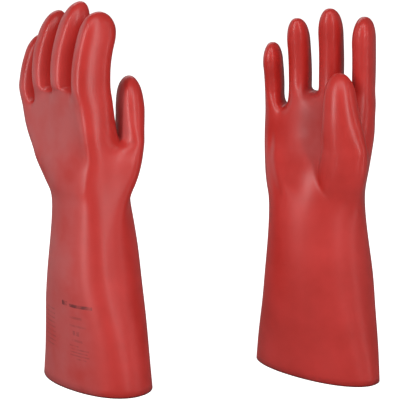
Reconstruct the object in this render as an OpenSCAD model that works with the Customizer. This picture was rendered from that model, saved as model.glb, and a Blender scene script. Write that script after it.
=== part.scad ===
// A pair of long dipped-rubber insulating gauntlets, standing on their cuffs.
//
// Each glove is one seamless skin. Level loops of points climb from the cuff to
// the crotch of the thumb, where the loop divides in two: one branch closes into
// the thumb, the other climbs to the knuckles and divides again into four fingers.
// Where two branches part they share one arched row of points, the web. The same
// functions, set in by the wall, give the hollow inside, and a flat rim at the
// cuff joins the two skins into one closed body.
//
// Each glove is drawn as the right hand: +Z up from the cuff, +X towards the
// thumb, the palm faces -Y. The left one is its mirror image. What the two have
// in common is written once, and each has its own cuff, sleeve, thumb tip and lean,
// because soft gloves settle a little differently.

/* [Rubber] */
// Thickness of the dipped wall
wall = 2.4; // [1.5:0.1:3.5]

/* [Cuffs] */
// Width of the left cuff where it stands
left_cuff_w = 149.5; // [140:0.5:156]
// Depth of the left cuff
left_cuff_d = 88.5; // [80:0.5:92]
// Turn of the left cuff to the palm on the thumb side, in degrees
left_cuff_turn = 18; // [8:0.5:28]
// Width of the left sleeve
left_sleeve_w = 135; // [128:0.5:145]
// Depth of the left sleeve
left_sleeve_d = 92.5; // [82:0.5:95]
// Width of the right cuff where it stands
right_cuff_w = 160; // [150:0.5:168]
// Depth of the right cuff
right_cuff_d = 75; // [68:0.5:82]
// Turn of the right cuff to the palm on the thumb side, in degrees
right_cuff_turn = 26; // [15:0.5:35]
// Width of the right sleeve
right_sleeve_w = 129; // [122:0.5:138]
// Depth of the right sleeve
right_sleeve_d = 90.5; // [82:0.5:95]
// How far the cuffs stand behind the fingers' axis
cuff_back = 6.5; // [0:0.5:10]

/* [Sleeve] */
// Height of the sleeve's lower section
sleeve_z = 74; // [60:0.5:90]
// How far the sleeve stands back there
sleeve_back = 4; // [0:0.5:8]
// How far the sleeve stands out to the thumb side of the hand
sleeve_shift = 9.5; // [4:0.5:14]
// Height of the forearm section
forearm_z = 123; // [112:0.5:135]
// Width of the forearm
forearm_w = 116.5; // [110:0.5:122]
// Depth of the forearm
forearm_d = 94.5; // [89:0.5:100]
// How far the forearm stands back
forearm_back = 3.5; // [0:0.5:8]

/* [Hand] */
// Height of the wrist, the narrowest place
wrist_z = 195.5; // [185:0.5:202]
// Width of the wrist
wrist_w = 103; // [98:0.5:109]
// Depth of the wrist
wrist_d = 79.5; // [73:0.5:84]
// How far the wrist stands back
wrist_back = 1.5; // [-2:0.5:6]
// Height of the middle of the palm
palm_z = 227.5; // [222:0.5:236]
// Width of the palm
palm_w = 114.5; // [109:0.5:119]
// Depth of the palm, without the thumb
palm_d = 73; // [68:0.5:78]
// How far the palm stands back
palm_back = 11; // [7:0.5:15]
// Turn of the palm on the wrist, index side towards the palm, in degrees
palm_turn = 12.5; // [5:0.5:16]
// Height of the thumb's crotch
crotch_z = 258; // [253:0.5:263]
// Width of the hand there
crotch_w = 125; // [120:0.5:129]
// Depth of the hand there
crotch_d = 56.5; // [53:0.5:62]
// How far the hand stands back there
crotch_back = 17; // [13:0.5:21]
// Turn of the hand there, in degrees
crotch_turn = 18; // [12:0.5:22]
// Height of the middle of the knuckles' section
knuckle_z = 288; // [284:0.5:292]
// Width across the knuckles
knuckle_w = 127.5; // [122:0.5:131]
// Depth of the knuckles
knuckle_d = 48.5; // [43:0.5:52]
// How far the knuckles stand back
knuckle_back = 18.5; // [15:0.5:22]
// Turn of the knuckles, in degrees
knuckle_turn = 19.5; // [14:0.5:23]

/* [Fingers] */
// Length of a glove, from its cuff to the tip of the middle finger
glove_len = 408; // [395:0.5:420]
// How far each fingertip, from index to little, lies below the middle one
tip_drop = [7, 0, 13.5, 43.5]; // [0:0.5:55]
// Middles of the index, middle, ring and little fingers across the knuckles
finger_x = [48.5, 12.5, -22, -52]; // [-56:0.5:54]
// Middles of the four fingertips
tip_x = [48.5, 11, -26, -54]; // [-60:0.5:56]
// How far each finger's root stands back from the glove's middle
root_back = [7, 14, 24, 38]; // [0:0.5:42]
// How far each fingertip stands back, less than its root where the finger curls
tip_back = [-8.5, 2, 15, 21.5]; // [-14:0.5:26]
// How far each finger bows outwards in the middle of its length
finger_bow = [10.5, 14.5, 14, 9]; // [4:0.5:20]
// Width of each finger
finger_w = [23.5, 25.5, 23.5, 19.5]; // [17:0.5:27]
// Depth of each finger at its root, from back to palm
finger_root_d = [45, 49, 47, 39]; // [34:0.5:50]
// Depth of each finger at its tip
finger_tip_d = [38.5, 26.5, 24.5, 33]; // [22:0.5:42]
// Heights of the webs, between index and middle, middle and ring, ring and little
web_z = [321.5, 316.5, 298]; // [297:0.5:326]
// How far a web's ends on the back and palm lie below its middle
web_fall = 4; // [3:0.5:6]
// Heights where the outer sides of the index and little fingers begin
side_z = [296, 290]; // [286:0.5:300]

/* [Thumb] */
// Height of the tip of the left thumb
left_thumb_z = 330.5; // [322:0.5:338]
// How far the tip of the left thumb stands further to the palm
left_thumb_out = 6; // [0:0.5:10]
// Height of the tip of the right thumb
right_thumb_z = 345.5; // [338:0.5:350]
// How far the tip of the right thumb lies back towards the hand
right_thumb_back = 14; // [0:0.5:20]
// Width of the thumb at its crotch
thumb_root_w = 52; // [46:0.5:53]
// Width of the thumb half way up
thumb_mid_w = 39; // [36:0.5:43]
// Width of the thumb near its tip
thumb_tip_w = 29.5; // [27:0.5:34]
// Depth of the thumb at its crotch
thumb_root_d = 27; // [22:0.5:29]
// Depth of the thumb half way up
thumb_mid_d = 29.5; // [27:0.5:33]
// Depth of the thumb near its tip
thumb_tip_d = 28.5; // [23:0.5:30]
// Distance of the thumb's axis from the glove's middle, towards the thumb side
thumb_side = 37; // [34:0.5:41]
// How far the thumb leans back over the palm at its tip
thumb_lean = 9; // [4:0.5:13]
// How far the thumb's axis stands out in front of the glove's middle
thumb_front = 33; // [30:0.5:37]
// How far the thumb bows outwards in the middle of its length
thumb_bow = 1.5; // [0:0.5:5]
// How far the ball of the thumb runs back into the wrist
heel_back = 15; // [8:0.5:22]
// How far it runs in there towards the middle of the wrist
heel_in = 0.5; // [0:0.5:6]
// How far the thumb's web stands out to the palm
thumb_web_out = 13.5; // [9:0.5:17]
// How far the middle of the thumb's web rises above its ends
thumb_web_rise = 9; // [6:0.5:12]

/* [Pair] */
// Distance from the left glove's place to the right one's, across and to the back
pair_spacing = [228, 16.5]; // [0:0.5:280]
// Where the middle between the two places lies, which centres the pair
pair_middle = [5.5, 5.5]; // [-10:0.5:10]
// How the left glove is turned on its cuff, in degrees
left_turn = 112; // [100:0.5:125]
// How the right glove is turned on its cuff, in degrees
right_turn = -15; // [-30:0.5:0]
// How far the left glove's longest finger leans over its cuff, to the thumb side and to the back
left_lean = [-40, 1.6]; // [-50:0.1:20]
// How far the right glove's longest finger leans over its cuff, to the thumb side and to the back
right_lean = [14.7, -45.7]; // [-50:0.1:20]

/* [Hidden] */

// Degrees in a full, a half and a quarter turn
TURN = 360;
HALF = 180;
QUARTER = 90;
// How square the ovals are: 2 is an ellipse
SQUARE = 2.15;
FINGER_SQUARE = 2.4;
// Angle from the hand's broad axis at which its back and palm begin
CORNER = 32;
// Angle that a finger's back, sides and palm each take
FACE = 90;
// Steps along the back of one finger, and along one side of a finger
STEPS = 4;
SIDE = 4;
// Places where the loop is cut: the back of the hand takes 0 to SPAN
SPAN = 4 * STEPS;
HAND_N = 2 * SPAN + 2 * SIDE;
FINGER_N = 2 * STEPS + 2 * SIDE;
// The thumb takes the place of the columns from WEB_A to WEB_B of the hand's loop
WEB_A = 2 * SPAN - 1;
WEB_B = WEB_A + 6;
THUMB_ARC = 10;
WEB_N = WEB_B - WEB_A;
BODY_N = HAND_N - WEB_N + THUMB_ARC;
THUMB_N = WEB_N + THUMB_ARC;
// The thumb's loop starts at this angle, and its outer side takes this much of a turn
THUMB_START = 150;
THUMB_SWEEP = 260;
// Lower down, the ball of the thumb takes less of a turn, from and to these angles
BALL_START = 205;
BALL_END = 355;
// Heights over which the ball of the thumb takes its forms, all measured down from the crotch or wrist
WEB_FADE = 30;
EDGE_FADE = 22;
BALL_RISE = 14;
PALM_BLEND = 8;
RING_BLEND = 20;
ANGLE_BLEND = 25;
// Size of the soft join between the ball and the palm, at the wrist and at the crotch
FILLETS = [14, 8];
// Part of the thumb's flare that carries on below its crotch
THUMB_FLARE = 0.35;
// Powers of the curves that draw the ball back and bend the thumb
HEEL_POWER = 1.4;
TIP_POWER = 1.5;
// Share of the valleys between the fingers that shows at the knuckles
VALLEY = 0.1;
// Rounding of the webs, along the ridge and across it
WEB_ROUND = 0.6;
WEB_FULL = 0.6;
// Rows of points between the stations
HAND_ROWS = 3;
BLEND = 4;
BLEND_END = 0.3;
THUMB_BLEND = 20;
SHAFT = [0.17, 0.38, 0.6, 0.82];
THUMB_SHAFT = 2;
CAP = [0, 0.5, 0.8, 0.95];
// Length of a rounded tip, as a share of the digit's width
FINGER_CAP = 0.72;
THUMB_CAP = 0.8;
FINGER_ROWS = BLEND + len(SHAFT) + len(CAP);
THUMB_ROWS = BLEND + THUMB_SHAFT + len(CAP);
BODY_Z = [
    0, sleeve_z / 2, sleeve_z, (sleeve_z + forearm_z) / 2, forearm_z, (forearm_z + wrist_z) / 2, wrist_z,
    mix(wrist_z, palm_z, 1 / 3), mix(wrist_z, palm_z, 2 / 3), palm_z,
    mix(palm_z, crotch_z, 1 / 3), mix(palm_z, crotch_z, 2 / 3), crotch_z
];

// ---- curves ----
function mix(a, b, t) = a + (b - a) * t;
function clamp(t, low = 0) = min(max(t, low), 1);
function ease(t) = let (c = clamp(t)) c * c * (3 - 2 * c);
// Eases from 0 at one height to 1 at another
function rise(z, from, to) = ease((z - from) / (to - from));
function power(v, e) = sign(v) * pow(abs(v), e);
// A parabola through three sizes at 0, 0.5 and 1
function belly(a, m, b, t) = a + (4 * m - 3 * a - b) * t + 2 * (a + b - 2 * m) * t * t;

// A point of a squared oval of half width a and half depth b, at an angle
function oval(a, b, angle, square = SQUARE) =
    [a * power(cos(angle), 2 / square), b * power(sin(angle), 2 / square)];

function turned(p, angle) =
    [p.x * cos(angle) + p.y * sin(angle), p.y * cos(angle) - p.x * sin(angle)];

// A smooth curve through rows of numbers, each row starting with its height
function slope(rows, i) =
    let (a = rows[max(i - 1, 0)], b = rows[min(i + 1, len(rows) - 1)]) (b - a) / (b[0] - a[0]);
function through(rows, z) =
    let (
        i = max([for (k = [0 : len(rows) - 2]) if (k == 0 || rows[k][0] <= z) k]),
        a = rows[i],
        b = rows[i + 1],
        d = b[0] - a[0],
        t = (z - a[0]) / d
    )
    a * (1 + t * t * (2 * t - 3)) + b * (t * t * (3 - 2 * t))
        + slope(rows, i) * (d * t * (1 - t) * (1 - t)) - slope(rows, i + 1) * (d * t * t * (1 - t));

// ---- one glove's own values: its rows of sections, and its thumb's tip ----
// Each row: height, half width, half depth, sideways shift, shift to the back, turn
function stations(cuff, sleeve) = [
    [0, cuff.x / 2, cuff.y / 2, sleeve_shift, cuff_back, cuff.z],
    [sleeve_z, sleeve.x / 2, sleeve.y / 2, sleeve_shift, sleeve_back, cuff.z / 2],
    [forearm_z, forearm_w / 2, forearm_d / 2, sleeve_shift - 1, forearm_back, 0],
    [wrist_z, wrist_w / 2, wrist_d / 2, sleeve_shift / 2, wrist_back, 0],
    [palm_z, palm_w / 2, palm_d / 2, 1, palm_back, palm_turn],
    [crotch_z, crotch_w / 2, crotch_d / 2, 0, crotch_back, crotch_turn],
    [knuckle_z, knuckle_w / 2, knuckle_d / 2, 0, knuckle_back, knuckle_turn]
];
function rows_of(g) = g[0];
function thumb_top(g) = g[1];
function thumb_out(g) = g[2];

// ---- sections of the sleeve and hand ----
// The edges of the fingers across the knuckles give the columns of the loop
function finger_edge(f) = (finger_x[f] + finger_x[f + 1]) / 2;
edge_angle = [CORNER, for (f = [0 : 2]) acos(power(finger_edge(f) / (palm_w / 2), SQUARE / 2)), HALF - CORNER];
function back_angle(j) = let (f = min(floor(j / STEPS), 3)) mix(edge_angle[f], edge_angle[f + 1], j / STEPS - f);
function hand_angle(j) =
    j <= SPAN ? back_angle(j)
    : j <= SPAN + SIDE ? mix(HALF - CORNER, HALF + CORNER, (j - SPAN) / SIDE)
    : j <= 2 * SPAN + SIDE ? TURN - back_angle(2 * SPAN + SIDE - j)
    : mix(TURN - CORNER, TURN + CORNER, (j - 2 * SPAN - SIDE) / SIDE);
// In the sleeve the columns stand evenly
function body_angle(z, j) =
    let (
        m = clamp((j - WEB_A) / THUMB_ARC),
        hand = m == 0 ? hand_angle(j)
            : m == 1 ? hand_angle(j - THUMB_ARC + WEB_N)
            : mix(hand_angle(WEB_A), hand_angle(WEB_B), m)
    )
    mix(CORNER + TURN * j / BODY_N, hand, rise(z, wrist_z - ANGLE_BLEND, crotch_z - RING_BLEND));

function section(g, z, angle, inset) =
    let (s = through(rows_of(g), z), p = turned(oval(s[1] - inset, s[2] - inset, angle), s[5]))
    [s[3] + p.x, s[4] + p.y, z];

// ---- thumb ----
// The thumb's axis: straight and bowed above its crotch, and drawn back into the wrist below it
function thumb_up(g, z, low = 0) = clamp((z - crotch_z) / (thumb_top(g) - crotch_z), low);
function thumb_axis(g, z) =
    let (below = pow(max((crotch_z - z) / (crotch_z - wrist_z), 0), HEEL_POWER), t = thumb_up(g, z))
    [
        thumb_side - thumb_lean * t - heel_in * below,
        heel_back * below - thumb_front - thumb_bow * (1 - cos(TURN * t)) / 2 - thumb_out(g) * pow(t, TIP_POWER),
        z
    ];
// The point at an angle on the thumb's oval at a height
function thumb_oval(g, z, angle, inset) =
    let (
        t = thumb_up(g, z, -THUMB_FLARE),
        half_w = belly(thumb_root_w, thumb_mid_w, thumb_tip_w, t) / 2,
        half_d = belly(thumb_root_d, thumb_mid_d, thumb_tip_d, t) / 2,
        p = oval(half_w - inset, half_d - inset, angle)
    )
    thumb_axis(g, z) + [p.x, p.y, 0];
function thumb_angle(m) =
    m <= THUMB_ARC ? THUMB_START + THUMB_SWEEP * m / THUMB_ARC
    : THUMB_START + THUMB_SWEEP + (TURN - THUMB_SWEEP) * (m - THUMB_ARC) / WEB_N;

// The ball of the thumb: an arc of the thumb's oval, which stands out of the hand's oval with a soft join
function ball_point(g, z, m, inset) =
    let (
        near = rise(z, palm_z - PALM_BLEND, crotch_z),
        start = mix(BALL_START, THUMB_START, near),
        end = mix(BALL_END, THUMB_START + THUMB_SWEEP, rise(z, crotch_z - WEB_FADE, crotch_z)),
        s = through(rows_of(g), z),
        middle = [s[3], s[4]],
        p = thumb_oval(g, z, mix(start, end, m), inset),
        d = [p.x, p.y] - middle,
        q = turned(d, -s[5]),
        reach = norm(d),
        square = pow(abs(q.x / (s[1] - inset)), SQUARE) + pow(abs(q.y / (s[2] - inset)), SQUARE),
        edge = reach / pow(square, 1 / SQUARE),
        fillet = mix(FILLETS[0], FILLETS[1], near),
        soft = pow(max(fillet - abs(reach - edge), 0), 2) / fillet / 4 * (1 - pow(2 * m - 1, 4)),
        out = middle + d * ((max(reach, edge) + soft) / reach)
    )
    [out.x, out.y, z];
// How much of the ball shows: first along its middle, and up to its edges only near the crotch
function ball_share(z, m) =
    rise(z, wrist_z - BALL_RISE, palm_z) * mix(1, rise(z, palm_z - EDGE_FADE, crotch_z), pow(2 * m - 1, 2));
function body_point(g, z, j, inset) =
    let (m = clamp((j - WEB_A) / THUMB_ARC), flat = section(g, z, body_angle(z, j), inset))
    m == 0 ? on_ring(flat, z, j, inset)
    : m == 1 ? on_ring(flat, z, (j - THUMB_ARC + WEB_N) % HAND_N, inset)
    : mix(flat, ball_point(g, z, m, inset), ball_share(z, m));

// ---- fingers ----
function tip_z(f) = glove_len - tip_drop[f];
function finger_root(f) = [finger_x[f], root_back[f], knuckle_z];
function finger_tip(f) = [tip_x[f], tip_back[f], tip_z(f)];
function finger_axis(f, u) =
    let (a = finger_root(f), b = finger_tip(f), m = (a + b) / 2 + [0, 2 * finger_bow[f], 0])
    a * (1 - u) * (1 - u) + m * 2 * u * (1 - u) + b * u * u;
function finger_way(f, u) =
    let (d = finger_axis(f, u + 0.01) - finger_axis(f, u - 0.01)) d / norm(d);
function finger_angle(m) =
    let (start = FACE / 2, side = start + FACE, palm = side + FACE, inner = palm + FACE)
    m <= STEPS ? start + FACE * m / STEPS
    : m <= STEPS + SIDE ? side + FACE * (m - STEPS) / SIDE
    : m <= 2 * STEPS + SIDE ? palm + FACE * (m - STEPS - SIDE) / STEPS
    : inner + FACE * (m - 2 * STEPS - SIDE) / SIDE;
// A loop round a finger: u along its axis, shrink towards the tip
function finger_point(f, u, m, shrink, inset) =
    let (
        w = finger_way(f, u),
        up = cross(w, [1, 0, 0]),
        side = cross(up / norm(up), w),
        depth = mix(finger_root_d[f], finger_tip_d[f], u),
        p = oval(finger_w[f] / 2 - inset, depth / 2 - inset, finger_angle(m), FINGER_SQUARE) * shrink
    )
    finger_axis(f, u) + side * p.x + up / norm(up) * p.y;

// ---- the ring of knuckles ----
// The four finger roots side by side, where two neighbours meet at a corner half way
// between theirs, with the valleys between the fingers all but filled
function root_point(f, m, inset) =
    let (p = oval(finger_w[f] / 2 - inset, finger_root_d[f] / 2 - inset, finger_angle(m), FINGER_SQUARE))
    [finger_x[f] + p.x, root_back[f] + p.y];
function root_corner(f, m, inset) =
    let (
        g = f + (m == STEPS || m == STEPS + SIDE ? 1 : -1),
        own = root_point(f, m, inset)
    )
    g < 0 || g > 3 ? own : (own + root_point(g, m <= STEPS ? STEPS - m : FINGER_N + STEPS - m, inset)) / 2;
function root_arc(f, m, inset) =
    let (
        first = m <= STEPS ? 0 : STEPS + SIDE,
        last = first + STEPS,
        shift = [for (e = [first, last]) root_corner(f, e, inset) - root_point(f, e, inset)]
    )
    root_point(f, m, inset) + mix(shift[0], shift[1], (m - first) / STEPS);
// A line over the fingers' backs, or with side -1 under their palms
function finger_line(x, side, inset) =
    lookup(x, [for (f = [3 : -1 : 0]) [finger_x[f], root_back[f] + side * (finger_root_d[f] / 2 - inset)]]);
function filled(p, k, side, inset) =
    k < STEPS / 2 || k > SPAN - STEPS / 2 ? p : [p.x, mix(finger_line(p.x, side, inset), p.y, VALLEY)];
function ring_point(j, inset) =
    j <= SPAN ? let (f = min(floor(j / STEPS), 3)) filled(root_arc(f, j - STEPS * f, inset), j, 1, inset)
    : j < SPAN + SIDE ? root_point(3, STEPS + j - SPAN, inset)
    : j <= 2 * SPAN + SIDE ? let (k = j - SPAN - SIDE, g = min(floor(k / STEPS), 3))
        filled(root_arc(3 - g, STEPS + SIDE + k - STEPS * g, inset), k, -1, inset)
    : root_point(0, 2 * STEPS + SIDE + j - 2 * SPAN - SIDE, inset);
// The ring climbs to the webs' feet
ring_feet = [side_z[0], for (z = web_z) z - web_fall, side_z[1]];
ring_heights = concat(
    [for (f = [0 : 4]) [STEPS * f, ring_feet[f]]],
    [for (f = [0 : 4]) [SPAN + SIDE + STEPS * f, ring_feet[4 - f]]],
    [[HAND_N, ring_feet[0]]]
);
function ring_z(j) = lookup(j, ring_heights);
// From below the crotch up to the knuckles the section turns into that ring
function on_ring(p, z, j, inset) =
    let (r = ring_point(j, inset)) mix(p, [r.x, r.y, p.z], rise(z, crotch_z - RING_BLEND, knuckle_z));
function hand_point(g, t, j, inset) =
    let (z = mix(crotch_z, knuckle_z, t), p = on_ring(section(g, z, hand_angle(j), inset), z, j, inset))
    [p.x, p.y, mix(crotch_z, ring_z(j), t)];

// ---- one skin of a glove: all its points in order ----
function round_up(cap) = sqrt(1 - cap * cap);
function web_arch(a, b, t, high, out = 0) =
    mix(a, b, (1 - cos(HALF * t)) / 2) + [0, -out * sin(HALF * t), high * pow(sin(HALF * t), WEB_ROUND)];
// A point between a web's ridge, or a plain foot, and the loop above it
function out_of_web(a, b, t, web) =
    let (out = web ? pow(sin(QUARTER * t), WEB_FULL) : t, up = web ? 1 - cos(QUARTER * t) : t)
    [mix(a.x, b.x, out), mix(a.y, b.y, out), mix(a.z, b.z, up)];

function skin(g, inset) = let (
    body = [for (z = BODY_Z, j = [0 : BODY_N - 1]) body_point(g, z, j, inset)],
    // the arch between thumb and palm
    crotch_a = body_point(g, crotch_z, WEB_A, inset),
    crotch_b = body_point(g, crotch_z, WEB_A + THUMB_ARC, inset),
    crotch = [for (i = [1 : WEB_N - 1])
        web_arch(crotch_a, crotch_b, i / WEB_N, thumb_web_rise - inset, thumb_web_out)],
    // from the crotch to the knuckles
    hand = [for (r = [1 : HAND_ROWS], j = [0 : HAND_N - 1])
        let (t = r / HAND_ROWS, p = hand_point(g, t, j, inset))
        j > WEB_A && j < WEB_B && r < HAND_ROWS
            ? out_of_web(crotch[j - WEB_A - 1], [p.x, p.y, ring_z(j)], t, true)
            : p],
    top = [for (j = [0 : HAND_N - 1]) hand_point(g, 1, j, inset)],
    webs = [for (f = [1 : 3], i = [1 : SIDE - 1])
        web_arch(top[STEPS * f], top[HAND_N - SIDE - STEPS * f], i / SIDE, web_fall - inset)],
    fingers = [for (f = [0 : 3]) each finger_skin(f, finger_start(f, top, webs), inset)],
    thumb = thumb_skin(g, crotch, inset)
) concat(body, crotch, hand, webs, fingers, thumb);

// The loop that a finger starts from
function finger_start(f, top, webs) = [
    for (m = [0 : FINGER_N - 1])
        m <= STEPS ? top[STEPS * f + m]
        : m < STEPS + SIDE ? (f == 3 ? top[SPAN + m - STEPS] : webs[f * (SIDE - 1) + m - STEPS - 1])
        : m <= 2 * STEPS + SIDE ? top[SPAN + SIDE + STEPS * (3 - f) + m - STEPS - SIDE]
        : (f == 0 ? top[HAND_N - SIDE + m - 2 * STEPS - SIDE] : webs[(f - 1) * (SIDE - 1) + FINGER_N - 1 - m])
];
// Whether a point of the finger's loop lies on a web
function on_web(f, m) =
    (m >= STEPS && m <= STEPS + SIDE && f < 3) || ((m >= 2 * STEPS + SIDE || m == 0) && f > 0);

function finger_skin(f, start, inset) = let (
    length = norm(finger_tip(f) - finger_root(f)),
    reach = finger_w[f] * FINGER_CAP,
    shaft_end = 1 - reach / length
) [
    for (r = [1 : BLEND], m = [0 : FINGER_N - 1])
        out_of_web(start[m], finger_point(f, BLEND_END, m, 1, inset), r / BLEND, on_web(f, m)),
    for (u = SHAFT, m = [0 : FINGER_N - 1])
        finger_point(f, mix(BLEND_END, shaft_end, u), m, 1, inset),
    for (c = CAP, m = [0 : FINGER_N - 1])
        finger_point(f, shaft_end + (reach - inset) * c / length, m, round_up(c), inset),
    finger_axis(f, 1 - inset / length)
];

function thumb_skin(g, crotch, inset) = let (
    shaft_z = thumb_top(g) - thumb_tip_w * THUMB_CAP,
    blend_z = crotch_z + THUMB_BLEND,
    axis = thumb_axis(g, shaft_z)
) [
    for (r = [1 : BLEND], m = [0 : THUMB_N - 1])
        let (a = m <= THUMB_ARC ? body_point(g, crotch_z, WEB_A + m, inset) : crotch[THUMB_N - 1 - m])
        out_of_web(a, thumb_oval(g, blend_z, thumb_angle(m), inset), r / BLEND, m > THUMB_ARC),
    for (u = [1 : THUMB_SHAFT], m = [0 : THUMB_N - 1])
        thumb_oval(g, mix(blend_z, shaft_z, u / (THUMB_SHAFT + 1)), thumb_angle(m), inset),
    for (c = CAP, m = [0 : THUMB_N - 1])
        thumb_axis(g, mix(shaft_z, thumb_top(g) - inset, c))
            + (thumb_oval(g, shaft_z, thumb_angle(m), inset) - axis) * round_up(c),
    thumb_axis(g, thumb_top(g) - inset)
];

// ---- the same loops as point numbers, and the triangles between them ----
CROTCH_0 = len(BODY_Z) * BODY_N;
HAND_0 = CROTCH_0 + WEB_N - 1;
WEBS_0 = HAND_0 + HAND_ROWS * HAND_N;
FINGERS_0 = WEBS_0 + 3 * (SIDE - 1);
FINGER_LEN = FINGER_ROWS * FINGER_N + 1;
THUMB_0 = FINGERS_0 + 4 * FINGER_LEN;
SKIN_LEN = THUMB_0 + THUMB_ROWS * THUMB_N + 1;

function row(start, n, r) = [for (j = [0 : n - 1]) start + r * n + j];
function strip(a, b) = let (n = len(a)) [
    for (j = [0 : n - 1]) let (k = (j + 1) % n) each [[a[j], b[j], b[k]], [a[j], b[k], a[k]]]
];
function cap(a, tip) = let (n = len(a)) [for (j = [0 : n - 1]) [a[j], tip, a[(j + 1) % n]]];
function sleeve(loops) = [for (r = [0 : len(loops) - 2]) each strip(loops[r], loops[r + 1])];

body_last = row(0, BODY_N, len(BODY_Z) - 1);
hand_first = [for (j = [0 : HAND_N - 1])
    j <= WEB_A ? body_last[j] : j < WEB_B ? CROTCH_0 + j - WEB_A - 1 : body_last[j + THUMB_ARC - WEB_N]];
thumb_first = [for (m = [0 : THUMB_N - 1])
    m <= THUMB_ARC ? body_last[WEB_A + m] : CROTCH_0 + THUMB_N - 1 - m];
hand_last = row(HAND_0, HAND_N, HAND_ROWS - 1);
function finger_first(f) = finger_start(f, hand_last, [for (i = [0 : 3 * (SIDE - 1) - 1]) WEBS_0 + i]);
function finger_rows(f) = [for (r = [0 : FINGER_ROWS - 1]) row(FINGERS_0 + f * FINGER_LEN, FINGER_N, r)];
thumb_rows = [for (r = [0 : THUMB_ROWS - 1]) row(THUMB_0, THUMB_N, r)];

skin_faces = concat(
    sleeve([for (r = [0 : len(BODY_Z) - 1]) row(0, BODY_N, r)]),
    sleeve(concat([hand_first], [for (r = [0 : HAND_ROWS - 1]) row(HAND_0, HAND_N, r)])),
    [for (f = [0 : 3]) each concat(
        sleeve(concat([finger_first(f)], finger_rows(f))),
        cap(finger_rows(f)[FINGER_ROWS - 1], FINGERS_0 + f * FINGER_LEN + FINGER_LEN - 1)
    )],
    sleeve(concat([thumb_first], thumb_rows)),
    cap(thumb_rows[THUMB_ROWS - 1], SKIN_LEN - 1)
);
function flipped(faces) = [for (f = faces) [f[2], f[1], f[0]]];
function shifted(faces, n) = [for (f = faces) [f[0] + n, f[1] + n, f[2] + n]];

// One glove: outer skin, inner skin turned inside out, and the rim between them
module gauntlet(cuff, sleeve_size, thumb_z, thumb_tip_out, lean) {
    glove = [stations(cuff, sleeve_size), thumb_z, thumb_tip_out];
    points = [for (p = concat(skin(glove, 0), skin(glove, wall))) p + [lean.x, lean.y, 0] * p.z / glove_len];
    rim = strip(row(SKIN_LEN, BODY_N, 0), row(0, BODY_N, 0));
    polyhedron(points, concat(skin_faces, shifted(flipped(skin_faces), SKIN_LEN), rim), convexity = 10);
}

module left_glove() {
    color([0.72, 0.16, 0.14])
        translate(pair_middle - pair_spacing / 2)
            rotate([0, 0, left_turn])
                mirror([1, 0, 0])
                    gauntlet(
                        [left_cuff_w, left_cuff_d, left_cuff_turn], [left_sleeve_w, left_sleeve_d],
                        left_thumb_z, left_thumb_out, left_lean
                    );
}

module right_glove() {
    color([0.76, 0.15, 0.13])
        translate(pair_middle + pair_spacing / 2)
            rotate([0, 0, right_turn])
                gauntlet(
                    [right_cuff_w, right_cuff_d, right_cuff_turn], [right_sleeve_w, right_sleeve_d],
                    right_thumb_z, -right_thumb_back, right_lean
                );
}

left_glove();
right_glove();
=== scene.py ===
"""A pair of electricians' insulating gloves in red dipped rubber, standing on their cuffs."""

import math

import bpy
import numpy as np
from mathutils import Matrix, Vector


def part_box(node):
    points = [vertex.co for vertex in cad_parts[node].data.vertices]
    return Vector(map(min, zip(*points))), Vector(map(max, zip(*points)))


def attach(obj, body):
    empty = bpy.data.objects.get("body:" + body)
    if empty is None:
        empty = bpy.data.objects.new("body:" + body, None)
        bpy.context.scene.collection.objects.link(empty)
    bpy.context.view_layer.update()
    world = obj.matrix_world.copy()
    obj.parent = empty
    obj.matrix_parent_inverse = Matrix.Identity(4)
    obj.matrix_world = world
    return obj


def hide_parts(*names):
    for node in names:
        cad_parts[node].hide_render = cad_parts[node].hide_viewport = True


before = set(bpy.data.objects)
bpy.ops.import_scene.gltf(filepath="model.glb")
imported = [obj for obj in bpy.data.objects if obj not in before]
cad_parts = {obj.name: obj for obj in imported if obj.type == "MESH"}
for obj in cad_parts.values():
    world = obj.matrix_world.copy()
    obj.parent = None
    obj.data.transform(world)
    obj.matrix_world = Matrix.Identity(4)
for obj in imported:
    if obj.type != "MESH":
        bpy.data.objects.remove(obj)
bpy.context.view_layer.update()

# ---------------------------------------------------------------- camera
# It stands about two metres in front of the pair and looks a little down on them, with a long lens.
# It aims at a point about half way up between the two gloves.
camera_pitch = math.radians(14.3)
camera_distance = 1.938
camera_aim = (0.0005, -0.01125, 0.2003)
camera_data = bpy.data.cameras.new("front_view")
camera_data.sensor_width = 36
camera_data.lens = 163.3
camera = bpy.data.objects.new("front_view", camera_data)
camera.location = (
    camera_aim[0],
    camera_aim[1] - camera_distance * math.cos(camera_pitch),
    camera_aim[2] + camera_distance * math.sin(camera_pitch))
camera.rotation_euler = (math.pi / 2 - camera_pitch, 0, 0)
bpy.context.collection.objects.link(camera)
bpy.context.scene.camera = camera
bpy.context.scene.view_settings.view_transform = "Standard"


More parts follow.
